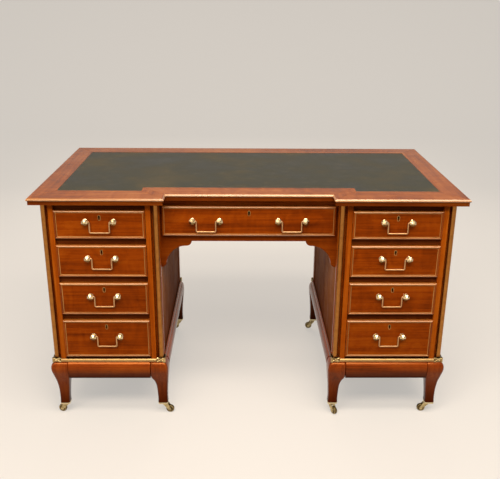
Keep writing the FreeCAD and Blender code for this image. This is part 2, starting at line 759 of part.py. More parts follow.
# Castors: a plate and bush in the foot, a fork that swivels in it, and a wheel on the fork's axle.
plate_foot = "(castor_height - plate_thickness)"
socket = new_body("CastorSocket")
plate_sketch = new_sketch(socket, "XY", plate_foot)
plate_span = ("-plate_width / 2", "plate_width / 2")
draw(plate_sketch, rounded_rectangle(plate_span, plate_span, "leg_edge"))
feature(socket, "Pad", plate_sketch, Length="plate_thickness")
bush_sketch = new_sketch(socket, "XY", "castor_height")
draw_circle(bush_sketch, "0", "0", "bush_radius")
feature(socket, "Pad", bush_sketch, Length="bush_length")
swivel_sketch = new_sketch(socket, "XY", plate_foot)
draw_circle(swivel_sketch, "0", "0", "swivel_radius + swivel_clearance")
doc.recompute()
feature(socket, "Pocket", swivel_sketch, Length="plate_thickness + bush_length", Reversed=True)
node("castor_sockets", [placed(socket, *axis) for x, y, heading, axis in corners])

collar_top = f"({plate_foot} - collar_gap)"
collar_foot = f"({collar_top} - collar_thickness)"
pin_top = "(castor_height + bush_length - collar_gap)"
fork_slot = "(wheel_width + 2 * wheel_gap)"
fork_width = f"({fork_slot} + 2 * fork_cheek)"
fork = new_body("Fork")
turn_on(fork, "XZ", [
    ("0", collar_foot), ("collar_radius", collar_foot), ("collar_radius", collar_top),
    ("swivel_radius", collar_top), ("swivel_radius", pin_top), ("0", pin_top),
])
cheek_sketch = new_sketch(fork, "XZ", f"-{fork_width} / 2")
draw(cheek_sketch, [
    ("collar_radius", collar_foot), ("-collar_radius / 2", collar_foot),
    ("-collar_radius / 2", f"{collar_foot} - fork_bridge"),
    ("castor_trail - fork_toe", "wheel_radius"),
    ("castor_trail", "wheel_radius - fork_toe", "fork_toe", 1),
    ("castor_trail + fork_toe", "wheel_radius", "fork_toe", 1),
])
feature(fork, "Pad", cheek_sketch, Length=fork_width)
gap_sketch = new_sketch(fork, "XZ", f"-{fork_slot} / 2")
gap_reach = "(castor_trail + wheel_radius + collar_radius)"
draw(gap_sketch, rectangle((f"-{gap_reach}", gap_reach), ("-wheel_radius", f"{collar_foot} - fork_bridge")))
doc.recompute()
feature(fork, "Pocket", gap_sketch, Length=fork_slot, Reversed=True)
axle_sketch = new_sketch(fork, "XZ", f"-{fork_width} / 2")
draw_circle(axle_sketch, "castor_trail", "wheel_radius", "axle_radius")
feature(fork, "Pad", axle_sketch, Length=fork_width)

wheel = new_body("Wheel")
wheel_bore = "(axle_radius + axle_clearance)"
turn_on(wheel, "XY", [
    (wheel_bore, "-wheel_width / 2"), ("wheel_radius - wheel_crown", "-wheel_width / 2"),
    ("wheel_radius", "-(wheel_width / 2 - wheel_crown)", "wheel_crown", 1),
    ("wheel_radius", "wheel_width / 2 - wheel_crown"),
    ("wheel_radius - wheel_crown", "wheel_width / 2", "wheel_crown", 1), (wheel_bore, "wheel_width / 2"),
])

castor_names = ("left_front_outer", "left_front_inner", "left_back_inner", "left_back_outer",
                "right_front_inner", "right_front_outer", "right_back_outer", "right_back_inner")
headings = ("first_heading", "second_heading", "rear_heading", "rear_heading",
            "third_heading", "fourth_heading", "rear_heading", "rear_heading")
for name, heading, corner in zip(castor_names, headings, corners):
    x, y = corner[3]
    node("castor_fork_" + name, [placed(fork, x, y, heading=heading)])
    wheel_x = f"{x} + castor_trail * cos({heading} * 1deg)"
    wheel_y = f"{y} + castor_trail * sin({heading} * 1deg)"
    node("castor_wheel_" + name, [placed(wheel, wheel_x, wheel_y, "wheel_radius", heading)])

doc.recompute()
faults = [item.Name for item in doc.Objects if set(item.State) & {"Invalid", "Error"}]
faults += [item.Label for item in nodes if item.Shape.isNull() or not item.Shape.isValid()]
if faults:
    raise SystemExit("these objects failed: " + ", ".join(faults))

os.makedirs("parts", exist_ok=True)
for item in nodes:
    item.Shape.exportStep(f"parts/{item.Label}.step")
print(len(nodes), "nodes,", sum(len(item.Shape.Solids) for item in nodes), "solids")
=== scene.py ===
import json
import math
import bmesh
import bpy
import numpy as np
from mathutils import Matrix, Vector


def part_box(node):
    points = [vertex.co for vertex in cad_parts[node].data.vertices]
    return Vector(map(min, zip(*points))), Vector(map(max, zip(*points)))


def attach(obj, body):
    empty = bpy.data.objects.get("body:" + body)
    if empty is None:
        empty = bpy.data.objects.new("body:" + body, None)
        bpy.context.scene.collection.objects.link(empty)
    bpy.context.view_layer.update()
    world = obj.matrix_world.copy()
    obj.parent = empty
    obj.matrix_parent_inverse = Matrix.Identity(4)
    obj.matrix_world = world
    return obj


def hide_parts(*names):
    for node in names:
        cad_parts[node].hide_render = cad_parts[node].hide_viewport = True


# Kneehole desk: X runs along the front, Y from front to back, Z up from the floor, in metres.
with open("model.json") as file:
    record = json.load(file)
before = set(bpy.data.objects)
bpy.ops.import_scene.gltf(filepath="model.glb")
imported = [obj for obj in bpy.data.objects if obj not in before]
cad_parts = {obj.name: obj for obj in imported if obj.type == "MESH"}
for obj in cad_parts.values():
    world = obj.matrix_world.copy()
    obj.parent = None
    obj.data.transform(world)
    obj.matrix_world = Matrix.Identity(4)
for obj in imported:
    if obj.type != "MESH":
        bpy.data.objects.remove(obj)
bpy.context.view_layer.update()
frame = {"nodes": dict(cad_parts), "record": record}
print("stage: frame loaded")


def linear(hexCode):
    # sRGB hex to linear colour
    parts = np.array([int(hexCode[place:place + 2], 16) for place in (1, 3, 5)]) / 255.0
    bright = ((parts + 0.055) / 1.055) ** 2.4
    return (*np.where(parts <= 0.04045, parts / 12.92, bright).tolist(), 1.0)


def add(tree, kind, inputs=None, out=0, stops=(), **props):
    # one shader node with its settings and links, and the stops of a ramp; gives back one of its outputs
    item = tree.nodes.new("ShaderNode" + kind)
    for key, setting in props.items():
        setattr(item, key, setting)
    for key, setting in (inputs or {}).items():
        if isinstance(setting, bpy.types.NodeSocket):
            tree.links.new(setting, item.inputs[key])
        else:
            item.inputs[key].default_value = setting
    if stops:
        elements = item.color_ramp.elements
        for stop in stops[1:-1]:
            elements.new(stop[0])
        for element, (place, hexCode) in zip(elements, stops):
            element.position = place
            element.color = linear(hexCode)
    return item.outputs[out]


def finish(name, build, settings):
    # a material whose shader takes the sockets that build works out, and plain settings
    material = bpy.data.materials.new(name)
    material.use_nodes = True
    tree = material.node_tree
    shader = tree.nodes["Principled BSDF"]
    for socket, source in build(tree).items():
        tree.links.new(source, shader.inputs[socket])
    for socket, setting in settings.items():
        shader.inputs[socket].default_value = setting
    return material


def grainPlace(tree, axis):
    # where a point lies in its board: first along the grain, then across it
    if axis is None:
        return add(tree, "Attribute", out="Vector", attribute_name="grain")
    inside = add(tree, "TexCoord", out="Object")
    parts = [add(tree, "SeparateXYZ", {0: inside}, out) for out in range(3)]
    order = {"x": (0, 1, 2), "y": (1, 2, 0), "z": (2, 0, 1)}[axis]
    return add(tree, "CombineXYZ", {place: parts[source] for place, source in enumerate(order)})


# French-polished mahogany: red-brown streaks 18 mm wide along the board, lines 2 mm wide between them,
# ribbons that cross every 50 mm, broad clouds, and short dark pores, drawn 1 mm wide so that they show. The
# polish is thin and hard, and years of hands have dulled it in patches. Rubbed mouldings have a coat of wax
# over it and no open pores. A piece given two heights has painted shade and a painted sheen: it is darker
# and duller at the lower height, full colour about two thirds of the way up, and shines most at the upper
# one.
def mahogany(name, tones, figure, gloss, polish, tint="#f4b478", coat=0.0, pore=1.0, axis=None, shadeSpan=None):
    layers = (((2.6, 55.0, 55.0), 4.0, 0.9, 0.62), ((6.0, 430.0, 430.0), 3.0, 0.0, 0.34),
              ((21.0, 10.0, 10.0), 2.0, 1.6, 0.60 * figure), ((2.3, 4.5, 4.5), 2.0, 0.0, 0.42))

    def build(tree):
        place = grainPlace(tree, axis)
        level = 0.5
        for spread, detail, twist, share in layers:
            stretched = add(tree, "VectorMath", {0: place, 1: spread}, operation="MULTIPLY")
            pattern = add(tree, "TexNoise", {"Vector": stretched, "Scale": 1.0, "Detail": detail,
                                             "Distortion": twist})
            centred = add(tree, "Math", {0: pattern, 1: 0.5}, operation="SUBTRACT")
            level = add(tree, "Math", {0: centred, 1: share * 2.0, 2: level}, operation="MULTIPLY_ADD")
        colour = add(tree, "ValToRGB", {0: level}, stops=list(zip((0.0, 0.5, 1.0), tones)))
        stretched = add(tree, "VectorMath", {0: place, 1: (70.0, 1000.0, 1000.0)}, operation="MULTIPLY")
        pores = add(tree, "TexNoise", {"Vector": stretched, "Scale": 1.0, "Detail": 2.0})
        porous = add(tree, "MapRange", {0: pores, 1: 0.58, 2: 0.70, 3: 0.0, 4: 0.5 * pore})
        colour = add(tree, "Mix", {0: porous, 6: colour, 7: linear(tones[0])}, 2, data_type="RGBA")
        stretched = add(tree, "VectorMath", {0: place, 1: (9.0, 14.0, 14.0)}, operation="MULTIPLY")
        smears = add(tree, "TexNoise", {"Vector": stretched, "Scale": 1.0, "Detail": 5.0, "Roughness": 0.65})
        shine = add(tree, "MapRange", {0: smears, 1: 0.3, 2: 0.7, 3: gloss * 0.8, 4: gloss * 1.3})
        height = add(tree, "Math", {0: level, 1: 0.5, 2: porous}, operation="SUBTRACT")
        bump = add(tree, "Bump", {"Strength": 0.12 * pore, "Distance": 0.0002, "Height": height})
        sockets = {"Base Color": colour, "Roughness": shine, "Normal": bump}
        # painted shade and painted sheen: the colour darkens towards the lower height and the sheen grows
        # towards the upper
        if shadeSpan:
            rise = add(tree, "SeparateXYZ", {0: add(tree, "TexCoord", out="Object")}, 2)
            litShare = add(tree, "MapRange", {0: rise, 1: shadeSpan[0], 2: shadeSpan[1], 3: 0.1, 4: 1.4})
            sockets["Base Color"] = add(tree, "Mix", {0: litShare, 6: linear(tones[0]), 7: colour}, 2,
                                        data_type="RGBA")
            sockets["Specular IOR Level"] = add(tree, "Math", {0: litShare, 1: polish}, operation="MULTIPLY")
        return sockets

    return finish(name, build, {"Specular IOR Level": polish, "Specular Tint": linear(tint),
                                "Coat Weight": coat, "Coat Roughness": gloss})


# Unpolished oak of the drawer linings: pale straw with open grain, grey-brown from hands and dust.
def oakLining(name):
    def build(tree):
        place = grainPlace(tree, None)
        stretched = add(tree, "VectorMath", {0: place, 1: (3.0, 75.0, 75.0)}, operation="MULTIPLY")
        streaks = add(tree, "TexNoise", {"Vector": stretched, "Scale": 1.0, "Detail": 5.0,
                                         "Distortion": 0.5})
        stretched = add(tree, "VectorMath", {0: place, 1: (60.0, 900.0, 900.0)}, operation="MULTIPLY")
        pores = add(tree, "TexNoise", {"Vector": stretched, "Scale": 1.0, "Detail": 2.0})
        dust = add(tree, "TexNoise", {"Vector": place, "Scale": 6.0, "Detail": 4.0})
        tones = [(0.3, "#8a6238"), (0.5, "#a67c4c"), (0.7, "#c09a68")]
        colour = add(tree, "ValToRGB", {0: streaks}, stops=tones)
        dirt = add(tree, "MapRange", {0: dust, 1: 0.45, 2: 0.75, 3: 0.0, 4: 0.5})
        colour = add(tree, "Mix", {0: dirt, 6: colour, 7: linear("#6b4f33")}, 2, data_type="RGBA")
        grainy = add(tree, "MapRange", {0: pores, 1: 0.58, 2: 0.68, 3: 0.0, 4: 0.5})
        colour = add(tree, "Mix", {0: grainy, 6: colour, 7: linear("#5d3f22")}, 2, data_type="RGBA")
        bump = add(tree, "Bump", {"Strength": 0.35, "Distance": 0.0003, "Height": pores})
        return {"Base Color": colour, "Normal": bump}

    return finish(name, build, {"Roughness": 0.62, "Specular IOR Level": 0.2})


# Cast and drawn brass: yellow metal with a lacquer that has browned in cloudy patches about 15 mm across,
# and hair scratches from polishing, drawn 1 mm wide.
def brass(name, bright, dull, worn, gloss):
    def build(tree):
        place = add(tree, "TexCoord", out="Object")
        patches = add(tree, "TexNoise", {"Vector": place, "Scale": 65.0, "Detail": 4.0, "Roughness": 0.6})
        stretched = add(tree, "VectorMath", {0: place, 1: (240.0, 240.0, 900.0)}, operation="MULTIPLY")
        rubs = add(tree, "TexNoise", {"Vector": stretched, "Scale": 1.0, "Detail": 3.0})
        tarnish = add(tree, "MapRange", {0: patches, 1: 0.40, 2: 0.70, 3: 0.0, 4: worn})
        colour = add(tree, "Mix", {0: tarnish, 6: linear(bright), 7: linear(dull)}, 2, data_type="RGBA")
        shine = add(tree, "MapRange", {0: rubs, 1: 0.3, 2: 0.7, 3: gloss, 4: gloss + 0.12})
        bump = add(tree, "Bump", {"Strength": 0.05, "Distance": 0.0002, "Height": rubs})
        return {"Base Color": colour, "Roughness": shine, "Normal": bump}

    return finish(name, build, {"Metallic": 1.0})


# Steel lock case: dark with oil and old dust, a little rust in cloudy patches. Its near-black tones are
# partly painted shade seen through the keyhole.
def lockSteel(name):
    def build(tree):
        place = add(tree, "TexCoord", out="Object")
        patches = add(tree, "TexNoise", {"Vector": place, "Scale": 140.0, "Detail": 5.0})
        tones = [(0.35, "#0a0705"), (0.55, "#140d08"), (0.75, "#2a1a0e")]
        colour = add(tree, "ValToRGB", {0: patches}, stops=tones)
        shine = add(tree, "MapRange", {0: patches, 1: 0.3, 2: 0.7, 3: 0.45, 4: 0.75})
        return {"Base Color": colour, "Roughness": shine}

    return finish(name, build, {"Specular IOR Level": 0.15})


# Hide for writing on: dark olive, a fine pebbled grain 1.2 mm across, scuffed pale and polished by sleeves.
def leather(name):
    def build(tree):
        place = add(tree, "TexCoord", out="Object")
        clouds = add(tree, "TexNoise", {"Vector": place, "Scale": 5.0, "Detail": 5.0, "Roughness": 0.6})
        stretched = add(tree, "VectorMath", {0: place, 1: (30.0, 55.0, 40.0)}, operation="MULTIPLY")
        scuffs = add(tree, "TexNoise", {"Vector": stretched, "Scale": 1.0, "Detail": 6.0, "Roughness": 0.7})
        pebble = add(tree, "TexVoronoi", {"Vector": place, "Scale": 820.0}, feature="F1")
        tones = [(0.34, "#1b1c12"), (0.5, "#2b2a1b"), (0.66, "#443c27")]
        colour = add(tree, "ValToRGB", {0: clouds}, stops=tones)
        worn = add(tree, "MapRange", {0: scuffs, 1: 0.55, 2: 0.78, 3: 0.0, 4: 0.5})
        colour = add(tree, "Mix", {0: worn, 6: colour, 7: linear("#6e5f42")}, 2, data_type="RGBA")
        shine = add(tree, "MapRange", {0: clouds, 1: 0.3, 2: 0.7, 3: 0.32, 4: 0.48})
        bump = add(tree, "Bump", {"Strength": 0.25, "Distance": 0.0004, "Height": pebble})
        return {"Base Color": colour, "Roughness": shine, "Normal": bump}

    return finish(name, build, {"Specular IOR Level": 0.25, "Specular Tint": linear("#f0dcb4")})


frontWood = mahogany("mahogany, drawer front", ("#5e2002", "#8d3904", "#a84f0b"),
                     figure=0.5, gloss=0.26, polish=0.14)
frameWood = mahogany("mahogany, stile", ("#7c3206", "#a44a08", "#bb6416"),
                     figure=0.3, gloss=0.28, polish=0.12)
# Painted highlight: the cockbead's level strips are lighter, glossier and waxed; the upright strips use
# beadWood, darker and duller.
paintedHighlightBeadWood = mahogany("mahogany, polished cockbead", ("#743810", "#a2581a", "#be7a32"),
                     figure=0.2, gloss=0.32, polish=1.0, tint="#ffe4b4", coat=0.7, pore=0.0)
beadWood = mahogany("mahogany, side cockbead", ("#6a2806", "#903f08", "#a85412"),
                    figure=0.2, gloss=0.24, polish=0.3)
# The nosing's pale, yellow tones are partly wear and partly painted highlight that makes its reflection
# cream.
noseWood = mahogany("mahogany, rubbed nosing", ("#7a4014", "#aa6420", "#c6863a"),
                    figure=0.2, gloss=0.29, polish=1.0, tint="#fff0c8", coat=1.0, pore=0.0)
# The legs and rails carry painted shade and a painted sheen: darker and duller towards the floor, shiniest
# at their heads.
standWood = mahogany("mahogany, stand", ("#3a1002", "#7c2c05", "#9a440d"),
                     figure=0.3, gloss=0.18, polish=0.65, tint="#f09c58",
                     shadeSpan=[corner.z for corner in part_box("cabriole_legs")])
cushionWood = mahogany("mahogany, stand rail", ("#300c01", "#802e05", "#a0480e"),
                       figure=0.3, gloss=0.18, polish=0.65, tint="#f09c58",
                       shadeSpan=[corner.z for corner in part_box("stand_rails")])
topWood = mahogany("mahogany, sun-faded border", ("#642a08", "#934a14", "#b0682c"),
                   figure=0.6, gloss=0.22, polish=0.12)
# Painted shade: the top's edges are darker than its upper faces, standing for the shadow under the nosing.
shadedEdgeWood = mahogany("mahogany, edge of the top", ("#4c1c04", "#722f07", "#8c450e"),
                    figure=0.3, gloss=0.24, polish=0.12)
sideWood = mahogany("mahogany, side panel", ("#4e1f05", "#7c390c", "#98521a"),
                    figure=0.6, gloss=0.28, polish=0.12)
# Painted light and shade: the kneehole panels are paler than the other mahogany and darken towards the
# floor.
paintedLightKneeWood = mahogany("mahogany, dull kneehole panel", ("#6a3012", "#c87838", "#e09658"),
                    figure=0.5, gloss=0.45, polish=0.01,
                    shadeSpan=[corner.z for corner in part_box("pedestal_sides")])
backWood = mahogany("mahogany, back panel", ("#481c05", "#703410", "#8c4a1a"),
                    figure=0.5, gloss=0.36, polish=0.08, axis="z")
railWood = mahogany("mahogany, kneehole rail", ("#5a2004", "#863806", "#9c4c10"),
                    figure=0.4, gloss=0.30, polish=0.10, axis="x")
dividerWood = mahogany("mahogany, shaded divider", ("#381304", "#562408", "#703812"),
                       figure=0.4, gloss=0.32, polish=0.06, axis="x")
# The inlaid line is boxwood: pale honey and close-grained, so the same streaks are faint in it. Its pale
# tone is partly painted highlight on the step inside the cockbead.
lineWood = mahogany("boxwood, inlaid line", ("#8a5526", "#b07a40", "#c89458"),
                    figure=0.2, gloss=0.22, polish=0.4)
liningWood = oakLining("oak, drawer lining")
bossBrass = brass("brass, cast boss", bright="#dfc79c", dull="#94703c", worn=0.7, gloss=0.10)
# Painted shade: a darker brass for the boss facets that face down.
shadeBrass = brass("brass, browned underside of a boss", bright="#8a6834", dull="#4e3818", worn=0.8,
                   gloss=0.20)
bailBrass = brass("brass, drawn bail", bright="#c89a6a", dull="#926a40", worn=0.5, gloss=0.34)
beadBrass = brass("brass, rolled bead", bright="#ba9560", dull="#946f40", worn=0.4, gloss=0.38)
blockBrass = brass("brass, cast corner block", bright="#cdb27c", dull="#7a5c30", worn=0.9, gloss=0.22)
columnBrass = brass("brass, browned column", bright="#aa7034", dull="#8a5626", worn=0.6, gloss=0.30)
castorBrass = brass("brass, worn castor", bright="#ceb886", dull="#58452a", worn=0.9, gloss=0.26)
plateBrass = brass("brass, castor plate", bright="#dccba2", dull="#9a8456", worn=0.5, gloss=0.24)
treadBrass = brass("brass, blackened castor tread", bright="#6e5c38", dull="#2e2212", worn=1.0, gloss=0.40)
rimBrass = brass("brass, dulled keyhole rim", bright="#b98f54", dull="#6c4a20", worn=0.8, gloss=0.32)
lockMetal = lockSteel("steel, lock case")
hide = leather("leather, olive writing skin")
print("stage: materials")


def grainOf(points, axis, seed):
    # the place in the board, with an offset so that no two boards share a figure
    order = {"x": [0, 1, 2], "y": [1, 2, 0], "z": [2, 0, 1]}[axis]
    return points[..., order] + np.random.default_rng(seed).uniform(-9.0, 9.0, 3)


def loft(rings, axis, seed, part=0, capPart=None):
    # closed outlines, each joined to the next by quads, and flat caps on the ends
    count, size = rings.shape[:2]
    index = np.arange(count * size).reshape(count, size)
    after = np.roll(index, -1, 1)
    quads = np.stack([index[:-1], after[:-1], after[1:], index[1:]], -1).reshape(-1, 4)
    return {"points": rings.reshape(-1, 3), "grain": grainOf(rings, axis, seed).reshape(-1, 3),
            "quads": quads, "caps": [index[0][::-1], index[-1]], "part": part,
            "capPart": part if capPart is None else capPart}


def collar(rings, axis, seed, part=0):
    # closed outlines joined by quads, the last to the first, as round a ring of any section
    count, size = rings.shape[:2]
    index = np.arange(count * size).reshape(count, size)
    beside, after = np.roll(index, -1, 1), np.roll(index, -1, 0)
    quads = np.stack([index, beside, np.roll(beside, -1, 0), after], -1).reshape(-1, 4)
    return {"points": rings.reshape(-1, 3), "grain": grainOf(rings, axis, seed).reshape(-1, 3),
            "quads": quads, "caps": [], "part": part, "capPart": 0}


def board(low, high, axis, seed, part=0):
    # a plain board between two corners
    flat = np.array([(0, 0), (1, 0), (1, 1), (0, 1)], float)
    unit = np.array([np.c_[flat, np.full(4, level)] for level in (0.0, 1.0)])
    return loft(np.array(low) + unit * (np.array(high) - np.array(low)), axis, seed, part)


def upright(plan, levels):
    # a plan carried straight up through levels
    return np.array([np.c_[plan, np.full(len(plan), level)] for level in levels])


def camelName(nodeName):
    # a CAD name in this script's own style
    first, *others = nodeName.split("_")
    return first + "".join(word.capitalize() for word in others)


def makePiece(name, patches, materials, body, nodes, bevel=0.0, angle=35.0):
    # one mesh from closed patches, standing for CAD nodes and moving with their body
    starts = np.cumsum([0] + [len(patch["points"]) for patch in patches])
    faces, parts = [], []
    for patch, start in zip(patches, starts):
        faces += (patch["quads"] + start).tolist() + [(cap + start).tolist() for cap in patch["caps"]]
        parts += np.broadcast_to(patch["part"], len(patch["quads"])).tolist()
        parts += [patch["capPart"]] * len(patch["caps"])
    mesh = bpy.data.meshes.new(name)
    mesh.from_pydata(np.vstack([patch["points"] for patch in patches]).tolist(), [], faces)
    grain = np.vstack([patch["grain"] for patch in patches]).astype(np.float32)
    mesh.attributes.new("grain", "FLOAT_VECTOR", "POINT").data.foreach_set("vector", grain.ravel())
    mesh.polygons.foreach_set("material_index", parts)
    mesh.polygons.foreach_set("use_smooth", [True] * len(faces))
    for material in materials:
        mesh.materials.append(material)
    shell = bmesh.new()
    shell.from_mesh(mesh)
    bmesh.ops.recalc_face_normals(shell, faces=shell.faces)
    shell.to_mesh(mesh)
    shell.free()
    mesh.set_sharp_from_angle(angle=math.radians(angle))
    piece = bpy.data.objects.new(name, mesh)
    bpy.context.scene.collection.objects.link(piece)
    if bevel:
        edge = piece.modifiers.new("edge", "BEVEL")
        edge.width = bevel
        edge.segments = 2
        edge.limit_method = "ANGLE"
        edge.harden_normals = True
    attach(piece, body)
    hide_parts(*nodes)
    return piece


def keep(material, *nodes):
    # CAD nodes whose own shape is right, shown in this material
    for name in nodes:
        slots = frame["nodes"][name].data.materials
        slots.clear()
        slots.append(material)


# Plan of the top: an oblong with a breakfront step on each side of the kneehole. Its eight sides run along
# X and Y in turn.
edgeLow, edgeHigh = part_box("top_edge_moulding")
frameLow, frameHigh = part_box("top_frame")
skinLow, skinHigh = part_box("leather_writing_surface")
top = {"half": edgeHigh.x, "deep": edgeHigh.y, "notch": 0.263, "recess": 0.052, "under": frameLow.z,
       "upper": edgeHigh.z, "edge": edgeHigh.x - frameHigh.x, "nose": edgeHigh.z - edgeLow.z,
       "leatherStep": 0.343, "leatherRecess": -0.234}
# The boards' upright edges take the darker edge wood: painted shade.
topWoods = [topWood, shadedEdgeWood]


def topOutline(inset):
    side, notch = top["half"] - inset, top["notch"] + inset
    edge, recess = -(top["deep"] - inset), -(top["deep"] - top["recess"] - inset)
    return np.array([(-side, edge), (-notch, edge), (-notch, recess), (notch, recess),
                     (notch, edge), (side, edge), (side, -edge), (-side, -edge)])


# Boards round the leather: each runs from a side of the outline to the same side of the skin, and is mitred.
side, edge, back = skinHigh.x, skinLow.y, skinHigh.y
step, recess = top["leatherStep"], top["leatherRecess"]
leatherPlan = np.array([(-side, edge), (-step, edge), (-step, recess), (step, recess),
                        (step, edge), (side, edge), (side, back), (-side, back)])
woodPlan = topOutline(top["edge"])
boards = []
for index in range(len(woodPlan)):
    after = (index + 1) % len(woodPlan)
    plan = np.array([woodPlan[index], woodPlan[after], leatherPlan[after], leatherPlan[index]])
    rings = upright(plan, (top["under"], top["upper"]))
    boards.append(loft(rings, "xy"[index % 2], seed=40 + index, part=topWoods.index(shadedEdgeWood),
                       capPart=topWoods.index(topWood)))
makePiece("topBoards", boards, topWoods, "carcass", ["top_frame"], bevel=0.0007)

# Nosing: an eased slope above and a quarter round below, carried along each side of the outline and mitred.
# The slope is a quarter of the curve |x|^p + |y|^p = 1 with p just over 1, nearly a plain chamfer.
nosing = {"power": 1.06, "steps": 9}
quarter = np.radians(np.linspace(0, 90, nosing["steps"]))
slope = np.cos(quarter) ** (2 / nosing["power"])
noseInset = top["edge"] * np.r_[1 - np.sin(quarter), (1 - slope)[1:]]
noseLevel = top["upper"] - top["nose"] / 2 * np.r_[1 + np.cos(quarter), (1 - slope[::-1])[1:]]
corners = np.array([np.c_[topOutline(inset), np.full(len(woodPlan), level)]
                    for inset, level in zip(noseInset, noseLevel)])
strips = []
for index in range(len(woodPlan)):
    rings = np.array([corners[:, index], corners[:, (index + 1) % len(woodPlan)]])
    strips.append(loft(rings, "xy"[index % 2], seed=60 + index))
makePiece("topNosing", strips, [noseWood], "carcass", ["top_edge_moulding"])
keep(hide, "leather_writing_surface")
keep(railWood, "top_panel")
print("stage: top")

# Pedestals: L-shaped corner posts with a round brass column let into each corner.
postLow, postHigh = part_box("corner_posts")
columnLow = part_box("brass_columns")[0]
pedestal = {"inner": 0.285, "outer": postHigh.x, "front": postHigh.y, "post": 0.0405, "notch": 0.024,
            "column": 0.008, "columnInset": 0.0005, "columnSides": 40, "foot": postLow.z,
            "block": columnLow.z - postLow.z, "head": postHigh.z}
places = []
for low, high in ((-pedestal["outer"], -pedestal["inner"]), (pedestal["inner"], pedestal["outer"])):
    for x, y, heading in ((low, -1, 0), (high, -1, 90), (high, 1, 180), (low, 1, 270)):
        places.append((x, y * pedestal["front"], math.radians(heading)))


def atCorner(points, place):
    # local points, measured inwards from a pedestal's corner, turned and moved there
    x, y, heading = place
    cos, sin = math.cos(heading), math.sin(heading)
    moved = points.copy()
    moved[..., 0] = x + cos * points[..., 0] - sin * points[..., 1]
    moved[..., 1] = y + sin * points[..., 0] + cos * points[..., 1]
    return moved


notch, width = pedestal["notch"], pedestal["post"]
postPlan = np.array([(notch, 0), (width, 0), (width, width), (0, width), (0, notch), (notch, notch)])
postRings = upright(postPlan, (pedestal["foot"], pedestal["head"]))
posts = [loft(atCorner(postRings, place), "z", seed=80 + number) for number, place in enumerate(places)]
makePiece("cornerPosts", posts, [frameWood], "carcass", ["corner_posts"], bevel=0.0009)

# Column: a circle carried straight up.
turns = np.linspace(0, 2 * math.pi, pedestal["columnSides"], endpoint=False)
radius = pedestal["column"]
middle = radius + pedestal["columnInset"]
ring = np.c_[middle + radius * np.cos(turns), middle + radius * np.sin(turns)]
columnRings = upright(ring, (pedestal["foot"] + pedestal["block"], pedestal["head"]))
columns = [loft(atCorner(columnRings, place), "z", seed=90 + number) for number, place in enumerate(places)]
makePiece("brassColumns", columns, [columnBrass], "carcass", ["brass_columns"])

# Side panels between the posts, set back by a quirk. Those beside the kneehole are duller, and have
# painted light: paler tones, darkening towards the floor in painted shade.
panel = {"recess": 0.003, "thick": 0.016}
panelWoods = [sideWood, paintedLightKneeWood]
run = pedestal["front"] - pedestal["post"]
sides = []
for sign in (-1, 1):
    for wood, outside in ((sideWood, pedestal["outer"] - panel["recess"]),
                          (paintedLightKneeWood, pedestal["inner"] + panel["recess"] + panel["thick"])):
        low, high = sorted((sign * outside, sign * (outside - panel["thick"])))
        sides.append(board((low, -run, pedestal["foot"]), (high, run, pedestal["head"]), "z",
                           seed=110 + len(sides), part=panelWoods.index(wood)))
makePiece("sidePanels", sides, panelWoods, "carcass", ["pedestal_sides"])
keep(backWood, "pedestal_backs")
keep(railWood, "kneehole_frame", "kneehole_brackets")
keep(dividerWood, "drawer_dividers")
print("stage: pedestals")

# Drawers: a figured front with a slot for the key, a cockbead round it and an oak box behind.
drawer = {"clear": 0.00075, "thick": 0.020, "bead": 0.008, "stand": 0.0032, "side": 0.010, "run": 0.0003,
          "drop": 0.008, "rise": 0.006, "floor": 0.006, "window": 0.010, "lock": (0.046, 0.011, 0.034)}
keyhole = {"drop": 0.024, "radius": 0.0028, "length": 0.015, "steps": 24, "rim": 0.0017, "plate": 0.0006}
boxWoods = [frontWood, paintedHighlightBeadWood, liningWood, lineWood, beadWood]
fittingMetals = [bossBrass, lockMetal, rimBrass, shadeBrass]

# Cockbead section, as inset and height: an easy slope, a quarter of |x|^p + |y|^p = 1, up to a ridge, a
# round fall to a quirk, and then the inlaid line, a low half-ellipse.
cockbead = {"power": 1.2, "slope": 0.0035, "fall": 0.0020, "root": 0.0004, "rise": 0.0028,
            "lineHalf": 0.00125, "lineRoot": 0.0001, "lineRise": 0.0011, "lineSteps": 11}
slope = np.cos(quarter) ** (2 / cockbead["power"])
half = np.radians(np.linspace(180, 0, cockbead["lineSteps"]))
quirk = cockbead["slope"] + cockbead["fall"]
outerBead = np.c_[cockbead["slope"] * (1 - slope), cockbead["root"] + cockbead["rise"] * slope[::-1]]
innerBead = np.c_[cockbead["slope"] + cockbead["fall"] * np.sin(quarter),
                  cockbead["root"] + cockbead["rise"] * np.cos(quarter)][1:]
lineBead = np.c_[quirk + cockbead["lineHalf"] * (1 + np.cos(half)),
                 cockbead["lineRoot"] + cockbead["lineRise"] * np.sin(half)]
beadSection = np.vstack([[(0.0, -drawer["thick"])], outerBead, innerBead, [(quirk, -drawer["thick"])]])
lineSection = np.vstack([[(quirk, -drawer["thick"])], lineBead, [(drawer["bead"], -drawer["thick"])]])


def beadStrips(section, low, high, foot, head, face, seed, woods):
    # a section carried along the four sides of the front and mitred, the level strips of one wood and the
    # upright ones of another: the level strips' lighter, glossier wood is painted highlight
    inset, height = section.T
    corners = ((low, foot, 1, 1), (high, foot, -1, 1), (high, head, -1, -1), (low, head, 1, -1))
    rings = [np.c_[x + right * inset, face - height, z + up * inset] for x, z, right, up in corners]
    return [loft(np.array([rings[index], rings[(index + 1) % 4]]), "xz"[index % 2], seed + index,
                 boxWoods.index(woods[index % 2])) for index in range(4)]


def slotRing(x, z, radius, length, count):
    # an upright slot with round ends, counted from its lower left
    turns = np.radians(-135 + 360 * np.arange(count) / count)
    shift = np.where(np.sin(turns) >= 0, 1, -1) * (length / 2 - radius)
    return np.c_[x + radius * np.cos(turns), z + shift + radius * np.sin(turns)]


